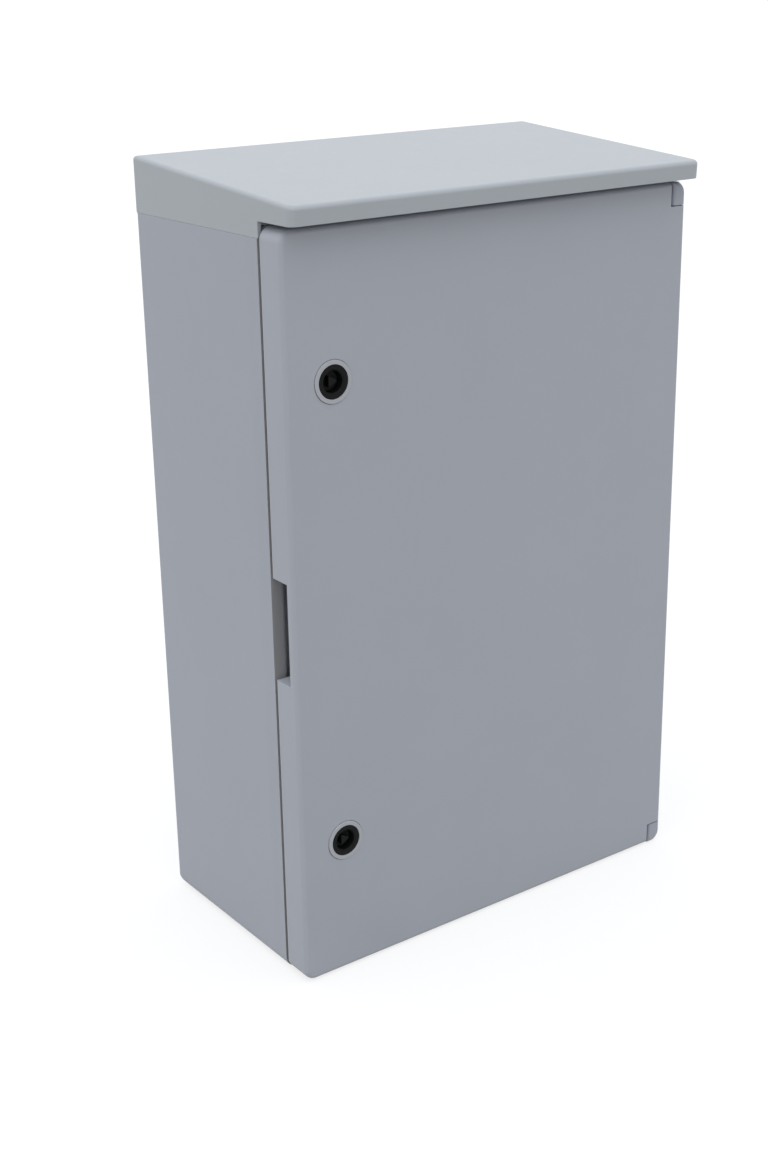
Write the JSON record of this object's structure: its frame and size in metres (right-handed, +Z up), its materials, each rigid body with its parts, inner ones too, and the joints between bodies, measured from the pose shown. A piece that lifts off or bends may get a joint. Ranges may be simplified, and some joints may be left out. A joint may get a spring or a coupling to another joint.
{
  "type": "wall-mounted electrical enclosure",
  "caption": "Outdoor wall cabinet for electrical gear with a sloping rain hood, a side-hung door on corner pins and quarter-turn locks with triangular keyways.",
  "frame": {"origin": "centre of the whole footprint, hood included, at the height of the flat base", "axes": "+X to the hinge side as seen from the front, +Y back to the wall, +Z up"},
  "size_m": [0.4, 0.2232, 0.6452],
  "materials": {
    "shell_plastic": "moulded light grey plastic with a very fine grain",
    "door_plastic": "moulded light grey plastic with a very fine grain",
    "hood_plastic": "moulded light grey plastic, slightly paler than the cabinet",
    "bezel_plastic": "smooth light grey plastic ring",
    "lock_plastic": "black glass-filled nylon",
    "seal_rubber": "black closed-cell foam rubber",
    "gland_plastic": "dark grey moulded plastic",
    "zinc_plate": "galvanised sheet steel",
    "zinc_screws": "bright zinc-plated steel",
    "pin_steel": "drawn stainless steel"
  },
  "bodies": {
    "cabinet": {"cabinet_shell": "shell_plastic", "rain_hood": "hood_plastic", "hood_screws": "zinc_screws", "upper_hinge_pin": "pin_steel", "lower_hinge_pin": "pin_steel", "mounting_plate": "zinc_plate", "mounting_plate_screws": "zinc_screws", "upper_keeper": "zinc_plate", "lower_keeper": "zinc_plate", "keeper_screws": "zinc_screws", "gland_plate": "gland_plastic", "gland_plate_seal": "seal_rubber", "gland_plate_screws": "zinc_screws"},
    "door": {"door_panel": "door_plastic", "door_seal": "seal_rubber", "upper_lock_bezel": "bezel_plastic", "lower_lock_bezel": "bezel_plastic", "upper_lock_housing": "lock_plastic", "lower_lock_housing": "lock_plastic", "upper_lock_seal": "seal_rubber", "lower_lock_seal": "seal_rubber", "upper_lock_nut": "zinc_plate", "lower_lock_nut": "zinc_plate"},
    "upper_lock": {"upper_lock_core": "lock_plastic", "upper_lock_cam": "zinc_plate", "upper_cam_screw": "zinc_screws"},
    "lower_lock": {"lower_lock_core": "lock_plastic", "lower_lock_cam": "zinc_plate", "lower_cam_screw": "zinc_screws"}
  },
  "joints": [
    {"name": "door_hinge", "type": "hinge", "parent": "cabinet", "child": "door", "pos_m": [0.193, -0.08885, 0.305], "axis": [0, 0, 1], "range_deg": [0, 180]},
    {"name": "upper_lock_turn", "type": "hinge", "parent": "door", "child": "upper_lock", "pos_m": [-0.158, -0.09635, 0.496], "axis": [0, 1, 0], "range_deg": [0, 90]},
    {"name": "lower_lock_turn", "type": "hinge", "parent": "door", "child": "lower_lock", "pos_m": [-0.158, -0.09635, 0.1185], "axis": [0, 1, 0], "range_deg": [0, 90]}
  ]
}
